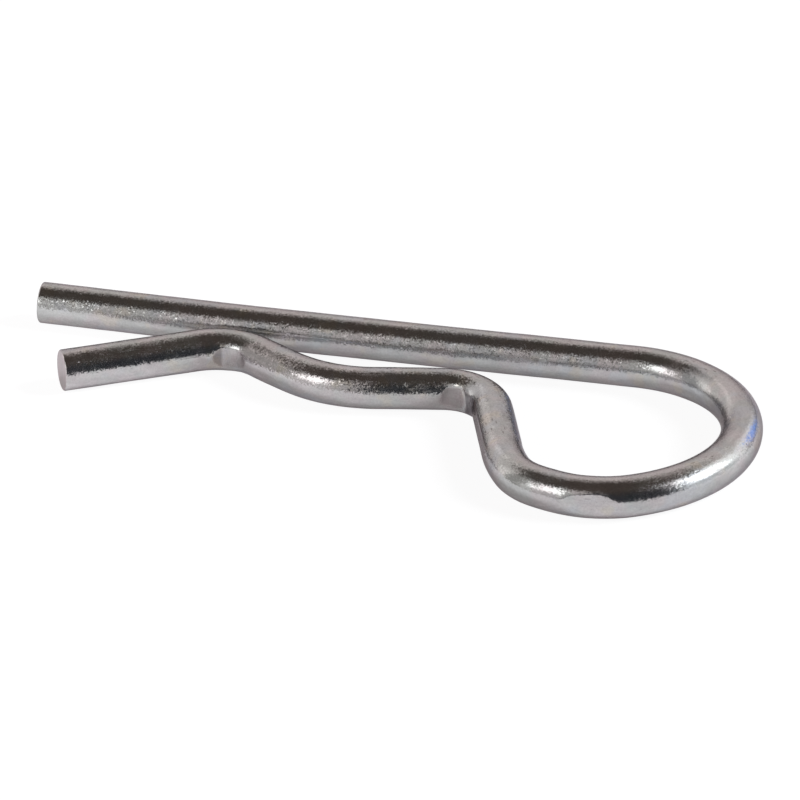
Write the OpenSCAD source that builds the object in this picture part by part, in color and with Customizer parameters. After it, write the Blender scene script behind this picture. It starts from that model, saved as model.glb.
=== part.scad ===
// R-shaped clip bent from one length of round steel wire: a straight leg,
// an open loop, and a gripping leg with a curved seat, a hump and a flared end.
// All lengths are in millimetres and all angles in degrees.

/* [Wire] */
// Diameter of the wire
wire_d = 4; // [3:0.25:4.5]
// Rounding of the rim around each cut end
rim_r = 0.35; // [0.1:0.05:0.6]

/* [Straight leg] */
// Length of the straight leg, from its cut end to the start of the loop
leg_len = 59.2; // [52:0.2:75]

/* [Loop] */
// Centreline radius of the loop's far side
side_r = 12.5; // [11.5:0.5:14]
// Turn of the loop's far side
side_a = 62.5; // [60:0.5:64]
// Centreline radius of the loop's nose
nose_r = 15; // [14.5:0.5:17]
// Turn of the loop's nose
nose_a = 87.5; // [85:0.5:89]
// Centreline radius of the loop's heel
heel_r = 9; // [8:0.5:10]
// Turn of the loop's heel
heel_a = 44; // [42:0.5:44.5]
// Centreline radius of the slack bend between heel and corner
slack_r = 16; // [14:0.5:18]
// Turn of the slack bend between heel and corner
slack_a = 9.5; // [8:0.5:10.5]
// Centreline radius of the tight corner under the neck
corner_r = 6.5; // [6:0.25:7.5]
// Turn of the tight corner under the neck
corner_a = 34.5; // [33:0.5:35.5]
// Centreline radius of the run-out from the corner into the neck
runout_r = 19; // [17:0.5:21]
// Turn of the run-out from the corner into the neck
runout_a = 13; // [12:0.5:13.5]

/* [Gripping leg] */
// Gap between the straight leg and the top of the hump
hump_gap = 1.5; // [0.8:0.1:2.2]
// Centreline radius of the elbow at the top of the neck
elbow_r = 5; // [4.5:0.25:5.75]
// Slope of the straight run after the elbow, against the straight leg
shelf_slope = 12; // [11:0.5:14]
// Length of the straight run after the elbow
shelf_len = 6.2; // [5.4:0.2:7]
// Centreline radius of the curved seat that bears on the shaft
seat_r = 12; // [11:0.5:13]
// Turn of the curved seat
seat_a = 44; // [42:0.5:44.5]
// Length of the straight ramp up to the hump
ramp_len = 4.2; // [3.4:0.2:5]
// Centreline radius of the hump
hump_r = 6; // [5.5:0.25:7]
// Turn of the hump
hump_a = 64; // [62:0.5:66]
// Length of the flared end, from the hump to its cut end
flare_len = 13.4; // [10:0.2:16]

/* [Forming marks] */
// Radius of the forming pin that the elbow is bent around
elbow_pin_r = 2.45; // [2.1:0.05:2.5]
// Depth of the dent that this pin leaves inside the elbow
elbow_dent = 0.45; // [0.1:0.05:0.6]
// Width of the flat tool that presses on the inside of the hump
hump_tool_w = 3; // [2:0.1:3.4]
// Depth of the flat that this tool leaves, at its middle
hump_dent = 0.35; // [0.1:0.05:0.5]
// Depth of the flat pressed on the outside of the heel
heel_flat = 0.35; // [0.1:0.05:0.45]

/* [Hidden] */
$fn = 96;
rw = wire_d / 2;

// An exported rotation keeps six digits of its sine and cosine. So each turn is
// nudged, by at most 0.02 degree, to one whose rounded sine and cosine are all
// but a true rotation, and the faces of neighbouring segments meet exactly.
function six(x) = x == 0 ? 0
    : let(p = pow(10, 6 - ceil(log(abs(x))))) round(x * p) / p;
function strain(a) = abs(norm([six(cos(a)), six(sin(a))]) - 1);
function nudged(a) =
    let(near = [for (k = [-200 : 200]) strain(a + k / 10000)])
    a + (search(min(near), near)[0] - 200) / 10000;

// The elbow turns by what is left between the loop and the slope after it
loop_a = side_a + nose_a + heel_a + slack_a + corner_a + runout_a;
elbow_a = loop_a - 180 + shelf_slope;

// The path for a neck of length n, segment by segment: [length, radius, turn].
// A straight run has radius 0, and a turn is positive to the left.
function segments(n) = [
    [leg_len, 0, 0],
    [0, side_r, -nudged(side_a)],
    [0, nose_r, -nudged(nose_a)],
    [0, heel_r, -nudged(heel_a)],
    [0, slack_r, -nudged(slack_a)],
    [0, corner_r, -nudged(corner_a)],
    [0, runout_r, -nudged(runout_a)],
    [n, 0, 0],
    [0, elbow_r, nudged(elbow_a)],
    [shelf_len, 0, 0],
    [0, seat_r, -nudged(seat_a)],
    [ramp_len, 0, 0],
    [0, hump_r, nudged(hump_a)],
    [flare_len, 0, 0]
];
count = 14;
// Indices of the neck and of the segments that carry a forming mark
HEEL = 3;
NECK = 7;
ELBOW = 8;
HUMP = 12;
// Share of the heel's turn at which its flat lies
flat_at = 0.55;

function side(turn) = turn < 0 ? -1 : 1;
function left(h) = [-sin(h), cos(h)];
function along(h) = [cos(h), sin(h)];
// Centre of the bend that starts at point p with heading h
function centre(s, p, h) = p + side(s[2]) * s[1] * left(h);
// Point of segment s, started at p with heading h, after a share k of it
function on(s, p, h, k) = s[1] == 0 ? p + s[0] * k * along(h)
    : centre(s, p, h) - side(s[2]) * s[1] * left(h + s[2] * k);
// Heading and start point of every segment of path q, and of its far end
function headings(q, i = 0, h = 0) = i == count ? [h]
    : concat([h], headings(q, i + 1, h + q[i][2]));
function starts(q, i = 0, p = [0, 0]) = i == count ? [p]
    : concat([p], starts(q, i + 1, on(q[i], p, head[i], 1)));

// The neck is as long as it takes to bring the hump up to its gap from the
// straight leg. Without a neck the top of the hump's centreline is at bare_top.
bare = segments(0);
head = headings(bare);
bare_top = centre(bare[HUMP], starts(bare)[HUMP], head[HUMP])[1] + hump_r;
neck_len = round((-wire_d - hump_gap - bare_top) / sin(head[NECK]) * 100) / 100;
path = segments(neck_len);
start = starts(path);

// The outline's extremes, from points every half degree round the bends, put
// the origin under the middle of the clip
function steps(s) = s[1] == 0 ? 1 : abs(s[2]) * 2;
trace = [for (i = [0 : count - 1]) for (j = [0 : steps(path[i])])
    on(path[i], start[i], head[i], j / steps(path[i]))];
function column(n) = [for (p = trace) p[n]];
// The lowest point is on the outside of the heel, where the flat trims it
heel_out = heel_r + rw;
flat_dir = head[HEEL] + path[HEEL][2] * flat_at + 90;
heel_low = centre(path[HEEL], start[HEEL], head[HEEL])[1]
    + min([for (j = [0 : 0.002 : 1])
        let(a = head[HEEL] + path[HEEL][2] * j + 90,
            trim = max(0, heel_out * (cos(a - flat_dir) - 1) + heel_flat))
        heel_out * sin(a) - trim * sin(flat_dir)]);
// The flared end is cut square, so its corner reaches out beside its middle
tip = start[count] + rw * left(head[count]);
tip2 = start[count] - rw * left(head[count]);
x_lo = min(start[0][0], tip[0], tip2[0]);
x_hi = max(column(0)) + rw;
y_lo = heel_low;
y_hi = max(column(1)) + rw;
mid = [(x_lo + x_hi) / 2, (y_lo + y_hi) / 2];

// Last bit of a cut end, with its rounded rim, pointing along +Z
module cut_end() {
    rotate_extrude() {
        square([rw - rim_r, rim_r]);
        intersection() {
            translate([rw - rim_r, 0]) circle(rim_r);
            translate([rw - rim_r, 0]) square(rim_r);
        }
    }
}

// Straight run along +X from the origin; a cut end's rim is part of its length
module run(length, cut_at_start, cut_at_end) {
    from = cut_at_start ? rim_r : 0;
    to = length - (cut_at_end ? rim_r : 0);
    rotate([0, 90, 0]) {
        translate([0, 0, from]) cylinder(h = to - from, r = rw);
        if (cut_at_start) translate([0, 0, from]) mirror([0, 0, 1]) cut_end();
        if (cut_at_end) translate([0, 0, to]) cut_end();
    }
}

// Places its children at the far end of segment s, in the direction that the
// wire has there. The frames are nested one in another along the wire, so that
// the faces of neighbouring segments meet exactly.
module beyond(s) {
    if (s[1] == 0)
        translate([s[0], 0, 0]) children();
    else
        translate([0, side(s[2]) * s[1], 0]) rotate([0, 0, s[2]])
            translate([0, -side(s[2]) * s[1], 0]) children();
}

// Places its children at the start of segment i
module at(i, k = 0) {
    if (k == i) children();
    else beyond(path[k]) at(i, k + 1) children();
}

// Bend that leaves the origin along +X: a longer piece of a ring, cut square
// at both ends of the turn
module bend(s) {
    spare = 12;
    d = wire_d;
    difference() {
        translate([0, side(s[2]) * s[1], 0])
            rotate_extrude(angle = abs(s[2]) + 2 * spare,
                    start = s[2] > 0 ? -90 - spare : 90 + s[2] - spare)
                translate([s[1], 0]) circle(rw);
        translate([-3 * d, -d, -d]) cube([3 * d, 2 * d, 2 * d]);
        beyond(s) translate([0, -d, -d]) cube([3 * d, 2 * d, 2 * d]);
    }
}

// The wire from segment i to its far end
module wire(i = 0) {
    if (path[i][1] == 0) run(path[i][0], i == 0, i == count - 1);
    else bend(path[i]);
    if (i < count - 1) beyond(path[i]) wire(i + 1);
}

// Places its children at the centre of bend s, with +X towards the wire after
// a share k of the turn
module facing(s, k) {
    translate([0, side(s[2]) * s[1], 0])
        rotate([0, 0, s[2] * k - side(s[2]) * 90]) children();
}

module r_clip() {
    elbow = path[ELBOW];
    hump = path[HUMP];
    heel = path[HEEL];
    color([0.72, 0.73, 0.76])
    translate([-mid[0], -mid[1], rw])
    difference() {
        wire();
        // Round dent inside the elbow
        at(ELBOW) facing(elbow, 0.5)
            translate([elbow_r - rw + elbow_dent - elbow_pin_r, 0, -wire_d])
                cylinder(h = 2 * wire_d, r = elbow_pin_r);
        // Flat inside the hump
        at(HUMP) facing(hump, 0.5)
            translate([0, -hump_tool_w / 2, -wire_d])
                cube([hump_r - rw + hump_dent, hump_tool_w, 2 * wire_d]);
        // Flat outside the heel
        at(HEEL) facing(heel, flat_at)
            translate([heel_r + rw - heel_flat, -wire_d, -wire_d])
                cube([wire_d, 2 * wire_d, 2 * wire_d]);
    }
}

r_clip();
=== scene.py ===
"""Looks of a bent wire R clip, lying on a pale floor in a soft studio."""

import math

import bmesh
import bpy
import numpy as np
from mathutils import Matrix, Vector


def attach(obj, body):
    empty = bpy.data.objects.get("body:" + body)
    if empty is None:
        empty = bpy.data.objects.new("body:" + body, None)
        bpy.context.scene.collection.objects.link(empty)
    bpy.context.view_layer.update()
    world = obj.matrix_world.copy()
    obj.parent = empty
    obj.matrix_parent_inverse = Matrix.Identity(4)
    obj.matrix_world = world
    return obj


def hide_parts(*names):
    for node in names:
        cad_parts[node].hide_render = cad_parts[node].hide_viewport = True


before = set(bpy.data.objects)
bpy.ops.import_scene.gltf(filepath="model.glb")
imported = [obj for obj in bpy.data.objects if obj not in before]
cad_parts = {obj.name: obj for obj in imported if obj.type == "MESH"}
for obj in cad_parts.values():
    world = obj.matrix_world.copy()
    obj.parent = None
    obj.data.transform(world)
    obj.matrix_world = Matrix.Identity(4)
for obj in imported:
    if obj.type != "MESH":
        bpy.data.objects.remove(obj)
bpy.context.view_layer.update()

MM = 0.001
RW = 2.0  # wire radius, mm
RIM = 0.18  # rounding of a cut end's rim, mm

# The wire's path, as in the CAD: (length, radius, turn in degrees), in mm
PATH = [
    (59.2, 0, 0),
    (0, 12.5, -62.5138),
    (0, 15.0, -87.484),
    (0, 9.0, -44.016),
    (0, 16.0, -9.503),
    (0, 6.5, -34.4921),
    (0, 19.0, -13.0005),
    (8.63, 0, 0),
    (0, 5.0, 83.0018),
    (6.2, 0, 0),
    (0, 12.0, -44.016),
    (4.2, 0, 0),
    (0, 6.0, 63.9954),
    (13.4, 0, 0),
]
MID = np.array([36.9911, -13.8612])
LEG, SIDE, NOSE, HEEL, SLACK, CORNER, RUNOUT, NECK, ELBOW, SHELF, SEAT, RAMP, HUMP, FLARE = range(14)
# Spacing of the mesh's rings along each segment, mm
STEP = [0.7, 0.35, 0.33, 0.12, 0.18, 0.18, 0.2, 0.12, 0.065, 0.12, 0.25, 0.2, 0.065, 0.3]
AROUND = 112


def left(h):
    return np.stack([-np.sin(h), np.cos(h)], -1)


def ahead(h):
    return np.stack([np.cos(h), np.sin(h)], -1)


class Walk:
    """Start points, headings and lengths of the path's segments."""

    def __init__(self):
        p, h, s = np.zeros(2) - MID, 0.0, 0.0
        self.p, self.h, self.s, self.c = [], [], [], []
        for length, radius, turn in PATH:
            self.p.append(p)
            self.h.append(h)
            self.s.append(s)
            a = math.radians(turn)
            if radius:
                side = math.copysign(1, turn)
                c = p + side * radius * left(h)
                h += a
                p = c - side * radius * left(h)
                s += radius * abs(a)
            else:
                c = None
                p = p + length * ahead(h)
                s += length
            self.c.append(c)
        self.p.append(p)
        self.h.append(h)
        self.s.append(s)

    def at(self, s):
        """Centre line points and headings at the lengths s."""
        s = np.asarray(s, float)
        k = np.clip(np.searchsorted(self.s, s, side="right") - 1, 0, len(PATH) - 1)
        pts, heads = np.zeros((len(s), 2)), np.zeros(len(s))
        for i, (length, radius, turn) in enumerate(PATH):
            m = k == i
            if not m.any():
                continue
            d = s[m] - self.s[i]
            if radius:
                side = math.copysign(1, turn)
                heads[m] = self.h[i] + side * d / radius
                pts[m] = self.c[i] - side * radius * left(heads[m])
            else:
                heads[m] = self.h[i]
                pts[m] = self.p[i] + d[:, None] * ahead(self.h[i])
        return pts, heads

    def facing(self, i, share):
        """Centre of bend i, and the directions towards and along the wire there."""
        side = math.copysign(1, PATH[i][2])
        h = self.h[i] + math.radians(PATH[i][2]) * share
        return self.c[i], -side * left(h), ahead(h)


walk = Walk()
TOTAL = walk.s[-1]


def smax(a, b, k):
    """The larger of two lengths, rounded over k."""
    return 0.5 * (a + b + np.sqrt((a - b) ** 2 + k * k))


def smin(a, b, k):
    return 0.5 * (a + b - np.sqrt((a - b) ** 2 + k * k))


def ramp(x, a, b):
    t = np.clip((x - a) / (b - a), 0, 1)
    return t * t * (3 - 2 * t)


def ripple(seed, s, phi, length, turns=3):
    """Smooth wobble between about -1 and 1 over the wire's surface."""
    rng = np.random.default_rng(seed)
    out = np.zeros(np.broadcast(s, phi).shape)
    for _ in range(14):
        k = 2 * np.pi / (length * rng.uniform(0.6, 1.8))
        out += np.sin(k * s + rng.integers(0, turns + 1) * phi + rng.uniform(0, 6.28))
    return out / 4.0


def surface(s, phi, radius):
    """Points of the wire in metres at length s, angle phi from the left and radius,
    and how much a forming tool has marked it there, with painted shade and painted highlights added to that amount."""
    pts, heads = walk.at(s)
    n, fore = left(heads), ahead(heads)
    # The straight leg is sprung outward a little, most of all at its cut end
    pts[:, 1] += 0.46 * (1 - ramp(s, -8, 24)) + 0.14 * ramp(s, 36, 56) * (1 - ramp(s, 56, 74))
    s = s[:, None]
    radius = np.broadcast_to(radius, (len(s), phi.shape[-1])) + 0.0
    full = ramp(radius / RW, 0.2, 0.9)

    def bump(i, spread):
        middle = 0.5 * (walk.s[i] + walk.s[i + 1])
        return np.exp(-(((s - middle) / spread) ** 2))

    radius = radius + full * 0.005 * ripple(3, s, phi, 9.0) + full * 0.003 * ripple(4, s, phi, 3.0, 6)
    across = radius * np.cos(phi)
    up = radius * np.sin(phi)
    # A bent wire is a little taller where its inner side was squeezed, and its
    # outer side is flattened
    tall = 0.018 * bump(SHELF, 4.5) + 0.018 * bump(ELBOW, 4.0) + 0.014 * bump(HUMP, 4.0)
    tall = tall + 0.010 * bump(HEEL, 3.5)
    up = up * (1 + tall * (up > 0))
    across = across * (1 - 0.07 * bump(ELBOW, 3.4) * (across < 0))
    # Fold along the neck, beside the flat of the forming tool
    arc = RW * (phi - np.radians(25 + 0.55 * (123.3 - s)))
    reach = ramp(s, 111.5, 114) * (1 - ramp(s, 122.5, 124.5)) * (radius > 0.99 * RW)
    fold = 0.055 * reach * (np.exp(-(((arc + 0.15) / 0.12) ** 2)) - np.exp(-(((arc - 0.04) / 0.10) ** 2)))
    # Painted shade and painted highlight: a dark line and a bright line along the fold go into the marking value; the
    # fold itself is real shape
    dark = ramp(s, 111.5, 113) * (1 - 0.65 * ramp(s, 116, 121)) * (1 - ramp(s, 122.5, 124.5))
    bright = ramp(s, 113.5, 117) * (1 - ramp(s, 121, 123))
    mark = 3.0 * dark * np.exp(-(((arc - 0.05) / 0.10) ** 2))
    mark = mark - 3.2 * bright * np.exp(-(((arc + 0.20) / 0.15) ** 2))
    across = across + fold * np.cos(phi)
    up = up + fold * np.sin(phi)
    up = np.maximum(up, -RW)

    # Flat that the forming tool left along the neck's inner side
    depth = 0.135 * ramp(s, walk.s[NECK] - 2.2, walk.s[NECK] + 1.5)
    depth = depth * (1 - ramp(s, walk.s[ELBOW] + 1.0, walk.s[ELBOW] + 4.0))
    tilt = math.radians(9)
    over = across * math.cos(tilt) + up * math.sin(tilt)
    less = np.where(depth > 1e-3, smin(over, RW - depth, 0.03) - over, 0)
    less = less * ((s > walk.s[NECK] - 3) & (s < walk.s[ELBOW] + 5))
    across = across + less * math.cos(tilt)
    up = up + less * math.sin(tilt)

    # The far end is cut a few degrees off square
    slant = ramp(s, TOTAL - 3.0, TOTAL - 0.5) * (0.075 * across + 0.1)
    xy = pts[:, None, :] + across[..., None] * n[:, None, :] + slant[..., None] * fore[:, None, :]

    def local(i, share):
        c, towards, along = walk.facing(i, share)
        q = xy - c
        return c, towards, along, q @ towards, q @ along

    def near(i, spread):
        a, b = walk.s[i] - spread, walk.s[i + 1] + spread
        return ((s > a) & (s < b)) & np.ones_like(up, bool)

    # Round dent of the forming pin inside the elbow, cut off short by a slanted
    # shoulder on its side away from the neck, and by a sharp edge on the neck's
    c, f, a, w, t = local(ELBOW, 0.5)
    pin_r, pin_at = 2.85, 5.0 - RW + 0.45 - 2.85
    d = np.sqrt((w - pin_at) ** 2 + t**2)
    pushed = smax(d, pin_r, 0.04)
    u = (xy - walk.p[SHELF]) @ ahead(walk.h[SHELF])
    q = xy - walk.p[ELBOW]
    a, b = q @ ahead(walk.h[ELBOW]), q @ left(walk.h[ELBOW])
    past = b - 2.44 - 0.06 * up
    short = (1 - ramp(u, -0.5 - 0.36 * up, 0.3 - 0.36 * up)) * ramp(past, -0.08, 0.10)
    ok = near(ELBOW, 2.6) & (d > 1e-3) & (w > 0.2)
    scale = np.where(ok, 1 + (pushed / np.maximum(d, 1e-3) - 1) * short, 1.0)
    dented = ramp(np.where(ok, pushed - d, 0), 0.05, 0.25) * short
    # The dent is darker as duller pressed metal, and a strip near its edge by the neck is lighter, which is a painted
    # highlight
    mark = mark + dented * (1.3 - 1.6 * np.exp(-(((past - 0.28) / 0.13) ** 2)))
    mid = c + f * pin_at
    xy = mid + (xy - mid) * scale[..., None]
    # Painted shade: a dark strip on the inner side where the elbow meets the neck
    ok = near(ELBOW, 0.4) & (across > 0) & (a > 0)
    inner = np.where(ok, ramp(across, 0.8, 1.4), 0) * (1 - ramp(up, 0.85, 1.25))
    mark = mark + inner * 2.4 * np.exp(-(((past + 0.20) / 0.24) ** 2))

    # Flat of the tool inside the hump, with sloping shoulders
    c, f, a, w, t = local(HUMP, 0.5)
    tool = 6.0 - RW + 0.31 - t * t / 11.0 + 0.03 * t
    over = smax(t - 0.38, 0, 0.12) * 0.42 + smax(t - 1.2, 0, 0.10) * 1.6 + smax(-1.6 - t, 0, 0.35) * 0.75
    pushed = smax(w, tool - over, 0.09)
    # the wire is kinked a little where the tool's corner bore on it
    kink = 0.17 * np.clip(1 - np.abs(t + 1.35) / 1.5, 0, 1) * ramp(-up, -0.4, 1.2)
    ok = near(HUMP, 0.8) & (np.abs(t) < 3.2) & (w < 6.0)
    xy = xy + np.where(ok, pushed - w + kink, 0)[..., None] * f
    # The flat is darker as duller pressed metal; its sloping shoulders are darker still, which is painted shade
    dent = ramp(np.where(ok, pushed - w, 0), 0.02, 0.10)
    mark = mark + dent * (0.55 + 1.1 * ramp(t, 0.25, 0.55) + 0.4 * ramp(-t, 0.9, 1.3))

    # Flat pressed on the outside of the heel
    c, f, a, w, t = local(HEEL, 0.55)
    flat = 9.0 + RW - 0.35 + 0.02 * np.sin(t * 1.9 + 0.6)
    pushed = smin(w, flat, 0.05)
    ok = near(HEEL, 1.5) & (w > 8.6)
    xy = xy + np.where(ok, pushed - w, 0)[..., None] * f

    return np.concatenate([xy, (up + RW)[..., None]], -1) * MM, mark


def wire_mesh():
    """The whole wire as one closed mesh, with rounded rims and flat cut ends."""
    s = [RIM]
    for i in range(len(PATH)):
        a, b = walk.s[i], walk.s[i + 1]
        n = max(2, int(round((b - a) / STEP[i])))
        s += [x for x in np.linspace(a, b, n + 1) if x > s[-1] + 0.02 and x < TOTAL - RIM - 0.02]
    s = np.array(s + [TOTAL - RIM])
    # the points lie closer together on the upper left, where the tool marks are
    turn = np.linspace(0, 2 * np.pi, AROUND, endpoint=False)
    phi = turn - 0.3 * np.sin(turn - math.radians(60))
    rims = np.radians(np.linspace(0, 90, 9))[1:]
    rows, at, size = [], [], []
    caps = np.array([0.8, 0.55, 0.3, 0.12])
    # start cap, from its middle out to the rim, then the wire, then the end cap
    start = [(0.0, c * (RW - RIM)) for c in caps[::-1]]
    start += [(RIM - RIM * math.sin(a), RW - RIM + RIM * math.cos(a)) for a in rims[::-1]]
    end = [(TOTAL - RIM + RIM * math.sin(a), RW - RIM + RIM * math.cos(a)) for a in rims]
    end += [(TOTAL, c * (RW - RIM)) for c in caps]
    along = np.concatenate([[x for x, _ in start], s, [x for x, _ in end]])
    radius = np.concatenate([[r for _, r in start], np.full(len(s), RW), [r for _, r in end]])
    grid, mark = surface(along, np.broadcast_to(phi, (len(along), AROUND)), radius[:, None])
    n_rows = len(along)
    verts = grid.reshape(-1, 3)
    wire = np.stack(
        [
            np.repeat(along, AROUND),
            (radius[:, None] * np.cos(phi)).ravel(),
            (radius[:, None] * np.sin(phi)).ravel(),
        ],
        -1,
    )
    first = grid[0].mean(0)
    last = grid[-1].mean(0)
    verts = np.vstack([verts, first, last])
    wire = np.vstack([wire, [along[0], 0, 0], [along[-1], 0, 0]])
    i, j = np.meshgrid(np.arange(n_rows - 1), np.arange(AROUND), indexing="ij")
    k = (j + 1) % AROUND
    quads = np.stack([i * AROUND + j, (i + 1) * AROUND + j, (i + 1) * AROUND + k, i * AROUND + k], -1)
    faces = quads.reshape(-1, 4)[:, ::-1].tolist()
    a, b = len(verts) - 2, len(verts) - 1
    base = (n_rows - 1) * AROUND
    faces += [[a, (x + 1) % AROUND, x][::1] for x in range(AROUND)]
    faces += [[b, base + x, base + (x + 1) % AROUND] for x in range(AROUND)]
    mesh = bpy.data.meshes.new("bent_wire")
    mesh.from_pydata(verts.tolist(), [], faces)
    bm = bmesh.new()
    bm.from_mesh(mesh)
    bmesh.ops.recalc_face_normals(bm, faces=bm.faces)
    bm.to_mesh(mesh)
    bm.free()
    at = mesh.attributes.new("wire", "FLOAT_VECTOR", "POINT")
    at.data.foreach_set("vector", wire.astype(np.float32).ravel())
    at = mesh.attributes.new("mark", "FLOAT", "POINT")
    at.data.foreach_set("value", np.append(mark.ravel(), [0, 0]).astype(np.float32))
    # UVs: u along the wire, v around it, with the seam underneath
    uv = mesh.uv_layers.new(name="UVMap")
    co = wire
    around = (np.arctan2(co[:, 2], co[:, 1]) + np.pi / 2) % (2 * np.pi) / (2 * np.pi)
    out = np.zeros((len(mesh.loops), 2), np.float32)
    for poly in mesh.polygons:
        v = around[[mesh.loops[x].vertex_index for x in poly.loop_indices]].copy()
        if v.max() - v.min() > 0.5:
            v[v < 0.5] += 1
        for x, y in zip(poly.loop_indices, v):
            out[x] = (co[mesh.loops[x].vertex_index, 0] / TOTAL, y)
    uv.data.foreach_set("uv", out.ravel())
    mesh.shade_smooth()
    return mesh, n_rows, len(start)


class Nodes:
    """Short names for building a node tree."""

    def __init__(self, tree):
        self.tree = tree
        tree.nodes.clear()

    def new(self, kind, inputs=None, **props):
        node = self.tree.nodes.new(kind)
        for k, v in props.items():
            setattr(node, k, v)
        for k, v in (inputs or {}).items():
            self.put(node.inputs[k], v)
        return node

    def put(self, socket, v):
        if isinstance(v, bpy.types.NodeSocket):
            self.tree.links.new(v, socket)
        else:
            socket.default_value = v

    def math(self, op, *args, clamp=False):
        node = self.new("ShaderNodeMath", operation=op, use_clamp=clamp)
        for i, v in enumerate(args):
            self.put(node.inputs[i], v)
        return node.outputs[0]

    def vmath(self, op, *args):
        node = self.new("ShaderNodeVectorMath", operation=op)
        for i, v in enumerate(args):
            self.put(node.inputs[i], v)
        return node.outputs["Value"] if op in ("DOT_PRODUCT", "LENGTH") else node.outputs[0]

    def step(self, x, a, b, lo=0.0, hi=1.0):
        """Smooth step of x from lo at a to hi at b."""
        node = self.new("ShaderNodeMapRange", interpolation_type="SMOOTHSTEP")
        for i, v in enumerate((x, a, b, lo, hi)):
            self.put(node.inputs[i], v)
        return node.outputs[0]

    def noise(self, vec, scale, detail=2.0, rough=0.5, distort=0.0):
        node = self.new(
            "ShaderNodeTexNoise",
            {"Vector": vec, "Scale": scale, "Detail": detail, "Roughness": rough, "Distortion": distort},
        )
        return node.outputs["Fac"]

    def noise3(self, vec, scale, detail=1.0):
        node = self.new("ShaderNodeTexNoise", {"Vector": vec, "Scale": scale, "Detail": detail})
        return node.outputs["Color"]

    def off(self, colour):
        """A random colour as a vector around zero."""
        return self.vmath("SUBTRACT", colour, (0.5, 0.5, 0.5))

    def scaled(self, vec, k):
        node = self.new("ShaderNodeVectorMath", operation="SCALE")
        self.put(node.inputs[0], vec)
        self.put(node.inputs["Scale"], k)
        return node.outputs[0]

    def split(self, colour):
        return self.new("ShaderNodeSeparateColor", {"Color": colour}).outputs

    def split_vector(self, vec):
        return self.new("ShaderNodeSeparateXYZ", {"Vector": vec}).outputs

    def cells(self, vec, scale, feature="F1"):
        return self.new("ShaderNodeTexVoronoi", {"Vector": vec, "Scale": scale}, feature=feature)

    def mix(self, fac, a, b, kind="RGBA", blend="MIX"):
        node = self.new("ShaderNodeMix", data_type=kind)
        if kind == "RGBA":
            node.blend_type = blend
        ins = [x for x in node.inputs if x.enabled]
        self.put(ins[0], fac)
        self.put(ins[1], a)
        self.put(ins[2], b)
        return [x for x in node.outputs if x.enabled][0]

    def bump(self, height, distance, normal=None):
        node = self.new("ShaderNodeBump", {"Height": height, "Distance": distance, "Strength": 1.0})
        if normal is not None:
            self.put(node.inputs["Normal"], normal)
        return node.outputs[0]


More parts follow.
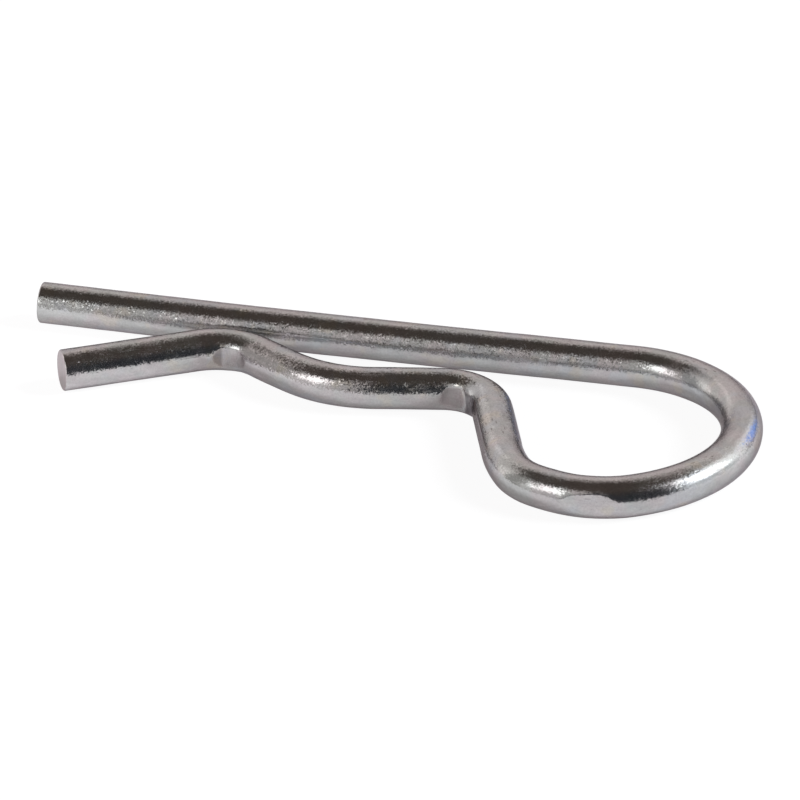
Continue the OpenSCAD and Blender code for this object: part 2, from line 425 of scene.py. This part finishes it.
def zinc():
    """Bright zinc on drawn steel wire: fine grain, soft tints, pits, drawn lines."""
    mat = bpy.data.materials.new("zinc_wire")
    mat.use_nodes = True
    t = Nodes(mat.node_tree)
    wire = t.new("ShaderNodeAttribute", attribute_name="wire").outputs["Vector"]

    def stretched(x, y):
        return t.vmath("MULTIPLY", wire, (x, y, y))

    def moved(x):
        return t.vmath("ADD", wire, (x, 1.7 * x, -0.6 * x))

    # tints: pink, green, blue and straw patches of the passivated zinc
    hue = t.step(t.noise(wire, 0.30, 3.0, 0.55), 0.40, 0.60)
    tint = t.mix(hue, (0.527, 0.505, 0.512, 1), (0.498, 0.511, 0.507, 1))
    tint = t.mix(t.step(t.noise(moved(31), 0.34, 2.0), 0.52, 0.66, 0.0, 0.7), tint, (0.486, 0.504, 0.530, 1))
    tint = t.mix(t.step(t.noise(moved(57), 0.45, 2.0), 0.58, 0.70, 0.0, 0.7), tint, (0.540, 0.515, 0.470, 1))
    # cloudy streaks along the wire, and a fine mottle
    cloud = t.noise(stretched(0.35, 1.0), 1.3, 4.0, 0.6)
    mottle = t.noise(wire, 5.0, 2.0, 0.6)
    shade = t.math("MULTIPLY", t.step(cloud, 0.3, 0.7, 0.92, 1.06), t.step(mottle, 0.3, 0.7, 0.94, 1.055))
    colour = t.scaled(tint, shade)

    # small pits, some of them drawn out along the wire in loose rows
    cell = t.cells(wire, 0.85)
    picked = t.math("GREATER_THAN", t.split(cell.outputs["Color"])[0], 0.78)
    pit = t.math("MULTIPLY", t.step(cell.outputs["Distance"], 0.04, 0.12, 1.0, 0.0), picked)
    cell2 = t.cells(stretched(0.42, 1.5), 2.0)
    picked2 = t.math("GREATER_THAN", t.split(cell2.outputs["Color"])[1], 0.62)
    pit2 = t.math("MULTIPLY", t.step(cell2.outputs["Distance"], 0.10, 0.34, 1.0, 0.0), picked2)
    # rows of them where the wire was bent most
    s, beside, above = t.split_vector(wire)
    upper = t.step(above, 0.2, 0.9)
    bends = t.math("MULTIPLY", t.step(s, 109.0, 113.0), t.step(s, 135.0, 139.0, 1.0, 0.0))
    rows = t.step(t.math("ADD", t.noise(stretched(0.16, 0.9), 0.8, 2.0), t.math("MULTIPLY", bends, t.step(above, 1.2, 1.7, 0.06, 0.20))), 0.56, 0.64)
    pit2 = t.math("MULTIPLY", pit2, rows)
    pits = t.math("MULTIPLY", t.math("MAXIMUM", pit, t.math("MULTIPLY", pit2, 0.7)), upper)

    # hairlines from drawing and handling the wire
    lines = t.noise(stretched(0.06, 5.0), 1.0, 3.0, 0.7)
    line = t.step(t.math("ABSOLUTE", t.math("SUBTRACT", lines, 0.5)), 0.0, 0.02, 1.0, 0.0)
    line = t.math("MULTIPLY", line, t.step(t.noise(stretched(0.5, 1.0), 0.7), 0.54, 0.7))
    skewed = t.new("ShaderNodeVectorRotate", {"Vector": wire, "Angle": 0.6}, rotation_type="Z_AXIS").outputs[0]
    nicks = t.noise(t.vmath("MULTIPLY", skewed, (0.5, 4.5, 0.5)), 1.0, 2.0, 0.6)
    nick = t.step(t.math("ABSOLUTE", t.math("SUBTRACT", nicks, 0.5)), 0.0, 0.014, 1.0, 0.0)
    nick = t.math("MULTIPLY", nick, t.step(t.noise(moved(12), 0.5), 0.60, 0.68))
    line = t.math("MAXIMUM", line, nick)

    final = t.mix(t.math("MULTIPLY", line, 0.22), colour, (0.30, 0.28, 0.27, 1))
    final = t.mix(t.math("MULTIPLY", pits, 0.72), final, (0.16, 0.135, 0.12, 1))

    rough = t.step(t.noise(wire, 0.7, 3.0), 0.3, 0.7, 0.17, 0.23)
    rough = t.math("ADD", rough, t.math("MULTIPLY", pits, 0.2))
    # what the tools pressed is duller and darker, and so is the stretched outside
    # of the elbow; the same value also carries painted shade, which darkens, and painted highlights, which lighten
    # where it is below zero
    mark = t.new("ShaderNodeAttribute", attribute_name="mark").outputs["Fac"]
    final = t.scaled(final, t.math("SUBTRACT", 1.0, t.math("MULTIPLY", mark, 0.22)))
    final = t.mix(t.step(mark, 0.1, 0.6), final, t.vmath("MULTIPLY", final, (1.0, 0.95, 0.955)))
    rough = t.math("ADD", rough, t.step(mark, 0.0, 1.0, 0.0, 0.1))
    around = t.math("MULTIPLY", t.step(s, 111.0, 114.0), t.step(s, 128.0, 131.0, 1.0, 0.0))
    outside = t.math("MULTIPLY", around, t.step(beside, -1.6, -0.8, 0.10, 0.0))
    rough = t.math("ADD", rough, outside)

    # crystalline grain: small facets that each lean their own way, flatter
    # where the loop was rolled round the former
    patches = t.step(t.noise(wire, 0.5, 2.0), 0.35, 0.65, 0.65, 1.25)
    rolled = t.math("MULTIPLY", t.step(s, 58.0, 66.0), t.step(s, 112.0, 120.0, 1.0, 0.0))
    patches = t.math("MULTIPLY", patches, t.step(rolled, 0.0, 1.0, 1.0, 0.65))
    lean = t.scaled(t.off(t.noise3(wire, 6.0, 2.0)), t.math("MULTIPLY", patches, 0.27))
    facets = t.cells(wire, 8.0).outputs["Color"]
    lean = t.vmath("ADD", lean, t.scaled(t.off(facets), t.math("MULTIPLY", patches, 0.11)))
    coarse = t.cells(moved(7), 5.2).outputs["Color"]
    rare = t.math("MULTIPLY", t.step(t.noise(coarse, 60.0, 0.0), 0.58, 0.66, 0.0, 0.15), patches)
    lean = t.vmath("ADD", lean, t.scaled(t.off(coarse), rare))
    n = t.vmath("NORMALIZE", t.vmath("ADD", t.new("ShaderNodeNewGeometry").outputs["Normal"], lean))

    n = t.bump(t.noise(stretched(0.5, 1.0), 0.9, 2.0), 1.6e-5, n)
    n = t.bump(t.math("SUBTRACT", 1.0, pits), 1.5e-5, n)
    n = t.bump(t.math("SUBTRACT", 1.0, line), 3e-6, n)

    shader = t.new(
        "ShaderNodeBsdfPrincipled",
        {"Base Color": final, "Roughness": rough, "Normal": n, "Metallic": 1.0, "Specular Tint": (0.5, 0.46, 0.48, 1)},
    )
    out = t.new("ShaderNodeOutputMaterial")
    t.tree.links.new(shader.outputs[0], out.inputs[0])
    return mat


def sheared():
    """Cut end: a shear-broken face, a little rougher, with fine vertical drag."""
    mat = bpy.data.materials.new("zinc_cut_end")
    mat.use_nodes = True
    t = Nodes(mat.node_tree)
    wire = t.new("ShaderNodeAttribute", attribute_name="wire").outputs["Vector"]
    drag = t.noise(t.vmath("MULTIPLY", wire, (1.0, 6.0, 0.9)), 1.0, 3.0, 0.6)
    patch = t.noise(wire, 0.8, 3.0)
    colour = t.mix(t.step(patch, 0.35, 0.65), (0.60, 0.535, 0.55, 1), (0.55, 0.515, 0.52, 1))
    n = t.bump(drag, 1.2e-5)
    n = t.bump(t.noise(wire, 2.4, 3.0), 1.5e-5, n)
    shader = t.new(
        "ShaderNodeBsdfPrincipled",
        {
            "Base Color": colour,
            "Roughness": t.step(drag, 0.3, 0.7, 0.28, 0.38),
            "Normal": n,
            "Metallic": 1.0,
            "Specular Tint": (0.6, 0.6, 0.6, 1),
        },
    )
    out = t.new("ShaderNodeOutputMaterial")
    t.tree.links.new(shader.outputs[0], out.inputs[0])
    return mat


# --- the clip
mesh, n_rows, n_start = wire_mesh()
clip = bpy.data.objects.new("bent_wire", mesh)
bpy.context.scene.collection.objects.link(clip)
mesh.materials.append(zinc())
mesh.materials.append(sheared())
cut = np.zeros(len(mesh.polygons), np.int32)
caps = 4
body = (n_rows - 1) * AROUND
cut[: (caps + 3) * AROUND] = 1
cut[(n_rows - caps - 4) * AROUND : body] = 1
cut[body:] = 1
mesh.polygons.foreach_set("material_index", cut)
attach(clip, "root")
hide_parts("r_clip")


# --- floor and backdrop
def disc(name, radius, z):
    n = 96
    a = np.linspace(0, 2 * np.pi, n, endpoint=False)
    m = bpy.data.meshes.new(name)
    m.from_pydata([(radius * math.cos(x), radius * math.sin(x), z) for x in a], [], [list(range(n))])
    o = bpy.data.objects.new(name, m)
    bpy.context.scene.collection.objects.link(o)
    return o


def seen_by(obj, *rays):
    for ray in ("camera", "diffuse", "glossy", "transmission", "volume_scatter", "shadow"):
        setattr(obj, "visible_" + ray, ray in rays)


def pale(obj, name, albedo, glow, tint=(1, 1, 1, 1)):
    """Matt material with some light of its own, as on a light table."""
    mat = bpy.data.materials.new(name)
    mat.use_nodes = True
    t = Nodes(mat.node_tree)
    real = t.new("ShaderNodeBsdfDiffuse", {"Color": (albedo, albedo, albedo, 1)})
    if callable(glow):
        glow = glow(t)
    white = t.new("ShaderNodeEmission", {"Color": tint, "Strength": glow})
    both = t.new("ShaderNodeAddShader")
    t.tree.links.new(real.outputs[0], both.inputs[0])
    t.tree.links.new(white.outputs[0], both.inputs[1])
    out = t.new("ShaderNodeOutputMaterial")
    t.tree.links.new(both.outputs[0], out.inputs[0])
    obj.data.materials.append(mat)


floor = disc("floor", 6.0, 0.0)
pale(floor, "pale_floor", 0.17, 0.88)
seen_by(floor, "camera")

# the table's light as the wire mirrors it: it ends a little way in front
m = bpy.data.meshes.new("table")
m.from_pydata([(-3, -0.030, 0), (3, -0.030, 0), (3, 4, 0), (-3, 4, 0)], [], [(0, 1, 2, 3)])
table = bpy.data.objects.new("table", m)
bpy.context.scene.collection.objects.link(table)


def table_glow(t):
    """Painted pool of light: the glow is brighter to the right, below the soft box there, and a little brighter to the
    left.
    """
    x = t.split_vector(t.new("ShaderNodeNewGeometry").outputs["Position"])[0]
    right = t.step(x, 0.030, 0.085, 0.0, 0.37)
    return t.math("ADD", t.math("ADD", 0.25, right), t.step(x, -0.045, 0.0, 0.18, 0.0))


pale(table, "pale_table", 0.60, table_glow, (1.0, 0.955, 0.985, 1))
seen_by(table, "diffuse", "glossy")

bpy.ops.mesh.primitive_uv_sphere_add(segments=64, ring_count=32, radius=6.0)
dome = bpy.context.object
dome.name = "backdrop"
mat = bpy.data.materials.new("pale_backdrop")
mat.use_nodes = True
t = Nodes(mat.node_tree)
glow = t.new("ShaderNodeEmission", {"Color": (1, 1, 1, 1), "Strength": 1.0})
out = t.new("ShaderNodeOutputMaterial")
t.tree.links.new(glow.outputs[0], out.inputs[0])
dome.data.materials.append(mat)
seen_by(dome, "camera")

# --- studio: a dark room in front, soft boxes left and right, pale walls behind
world = bpy.data.worlds.new("studio")
bpy.context.scene.world = world
world.use_nodes = True
t = Nodes(world.node_tree)
direction = t.new("ShaderNodeTexCoord").outputs["Generated"]
xyz = t.new("ShaderNodeSeparateXYZ", {"Vector": direction})
az = t.math("ARCTAN2", xyz.outputs[0], t.math("MULTIPLY", xyz.outputs[1], -1.0))
el = t.math("ARCSINE", xyz.outputs[2])


def window(az0, az1, soft, el0, el1, low, high):
    """1 between the azimuths az0 and az1, from -Y towards +X, and the elevations
    el0 and el1, in degrees, with soft edges."""
    r = math.radians
    middle, half = 0.5 * (az0 + az1), 0.5 * (az1 - az0)
    off = t.math("ABSOLUTE", t.math("WRAP", t.math("SUBTRACT", az, r(middle)), math.pi, -math.pi))
    a = t.step(off, r(half - soft), r(half + soft), 1.0, 0.0)
    b = t.step(el, r(el0 - low), r(el0 + low))
    c = t.step(el, r(el1 - high), r(el1 + high), 1.0, 0.0)
    return t.math("MULTIPLY", a, t.math("MULTIPLY", b, c))


WARM = (1.0, 0.925, 0.89)
panels = [
    # left soft box, its spill, and what is between it and the camera
    (window(-54, -30, 5, 16, 42, 5, 6), 2.6, (1.0, 0.985, 0.97)),
    (window(-62, -28, 6, -5, 16, 5, 8), 0.65, (1.0, 0.97, 0.95)),
    (window(-31, -3, 4, -5, 50, 3, 8), 0.56, (1.0, 0.95, 0.92)),
    (window(-92, -56, 6, -5, 42, 3, 8), 0.42, (1.0, 0.95, 0.90)),
    # left wall and a brighter strip on it
    (window(-142, -90, 6, -5, 46, 3, 14), 0.76, (1.0, 0.93, 0.89)),
    (window(-105, -91, 4, 3, 26, 4, 7), 0.55, (1.0, 0.95, 0.92)),
    # back wall
    (window(126, 222, 12, 3.5, 56, 1.5, 16), 0.66, WARM),
    (window(128, 225, 14, 16, 42, 7, 8), 0.14, WARM),
    # right soft box, its halo and a paler card behind it
    (window(85, 121, 6, 18, 44, 6, 7), 2.7, (0.985, 1.0, 1.01)),
    (window(75, 136, 4, -5, 50, 3, 8), 0.85, (0.985, 1.0, 1.01)),
    (window(139, 166, 5, 11, 32, 5, 6), 0.50, (1.0, 1.0, 1.0)),
]
# the room itself: dark and a little bluish low down, brownish above
total = t.mix(t.step(el, math.radians(22), math.radians(60)), (0.036, 0.039, 0.045, 1), (0.078, 0.064, 0.055, 1))
for mask, strength, colour in panels:
    total = t.vmath("ADD", total, t.scaled(colour, t.math("MULTIPLY", mask, strength)))
# a white card and a blue one, low behind on the right
total = t.mix(window(143, 163, 2, 20, 31, 2, 2), total, (1.5, 1.48, 1.45, 1))
total = t.mix(window(146, 160, 2, 3, 23, 2, 2), total, (0.42, 0.70, 1.55, 1))
bg = t.new("ShaderNodeBackground", {"Color": total, "Strength": 1.0})
out = t.new("ShaderNodeOutputWorld")
t.tree.links.new(bg.outputs[0], out.inputs[0])

# lamps that light the table from the two soft boxes' sides; the boxes
# themselves are what the metal mirrors
for name, side, rise, power, tone in (
    ("lamp_right", 103, 32, 2.4, (0.96, 1.0, 1.05)),
    ("lamp_left", -43, 30, 1.0, (1.06, 1.0, 0.96)),
):
    lamp = bpy.data.lights.new(name, "SUN")
    lamp.energy = power
    lamp.color = tone
    lamp.angle = math.radians(28)
    o = bpy.data.objects.new(name, lamp)
    x, y = math.sin(math.radians(side)), -math.cos(math.radians(side))
    c = math.cos(math.radians(rise))
    o.rotation_euler = Vector((x * c, y * c, math.sin(math.radians(rise)))).to_track_quat("Z", "Y").to_euler()
    o.visible_glossy = False
    bpy.context.scene.collection.objects.link(o)

# --- camera at the photograph's angle
cam = bpy.data.cameras.new("camera")
cam.sensor_fit = "HORIZONTAL"
cam.sensor_width = 36.0
cam.lens = 12582 / 800 * 36.0
cam.clip_end = 50
eye = Vector((248.87, -1043.17, 537.8)) * MM
goal = Vector((1.671, 1.726, 2.0)) * MM
camera = bpy.data.objects.new("camera", cam)
rot = (goal - eye).to_track_quat("-Z", "Y").to_matrix().to_4x4()
camera.matrix_world = Matrix.Translation(eye) @ rot @ Matrix.Rotation(math.radians(ROLL := 0.104), 4, "Z")
bpy.context.scene.collection.objects.link(camera)
bpy.context.scene.camera = camera
bpy.context.scene.view_settings.view_transform = "Standard"
bpy.context.scene.view_settings.look = "None"
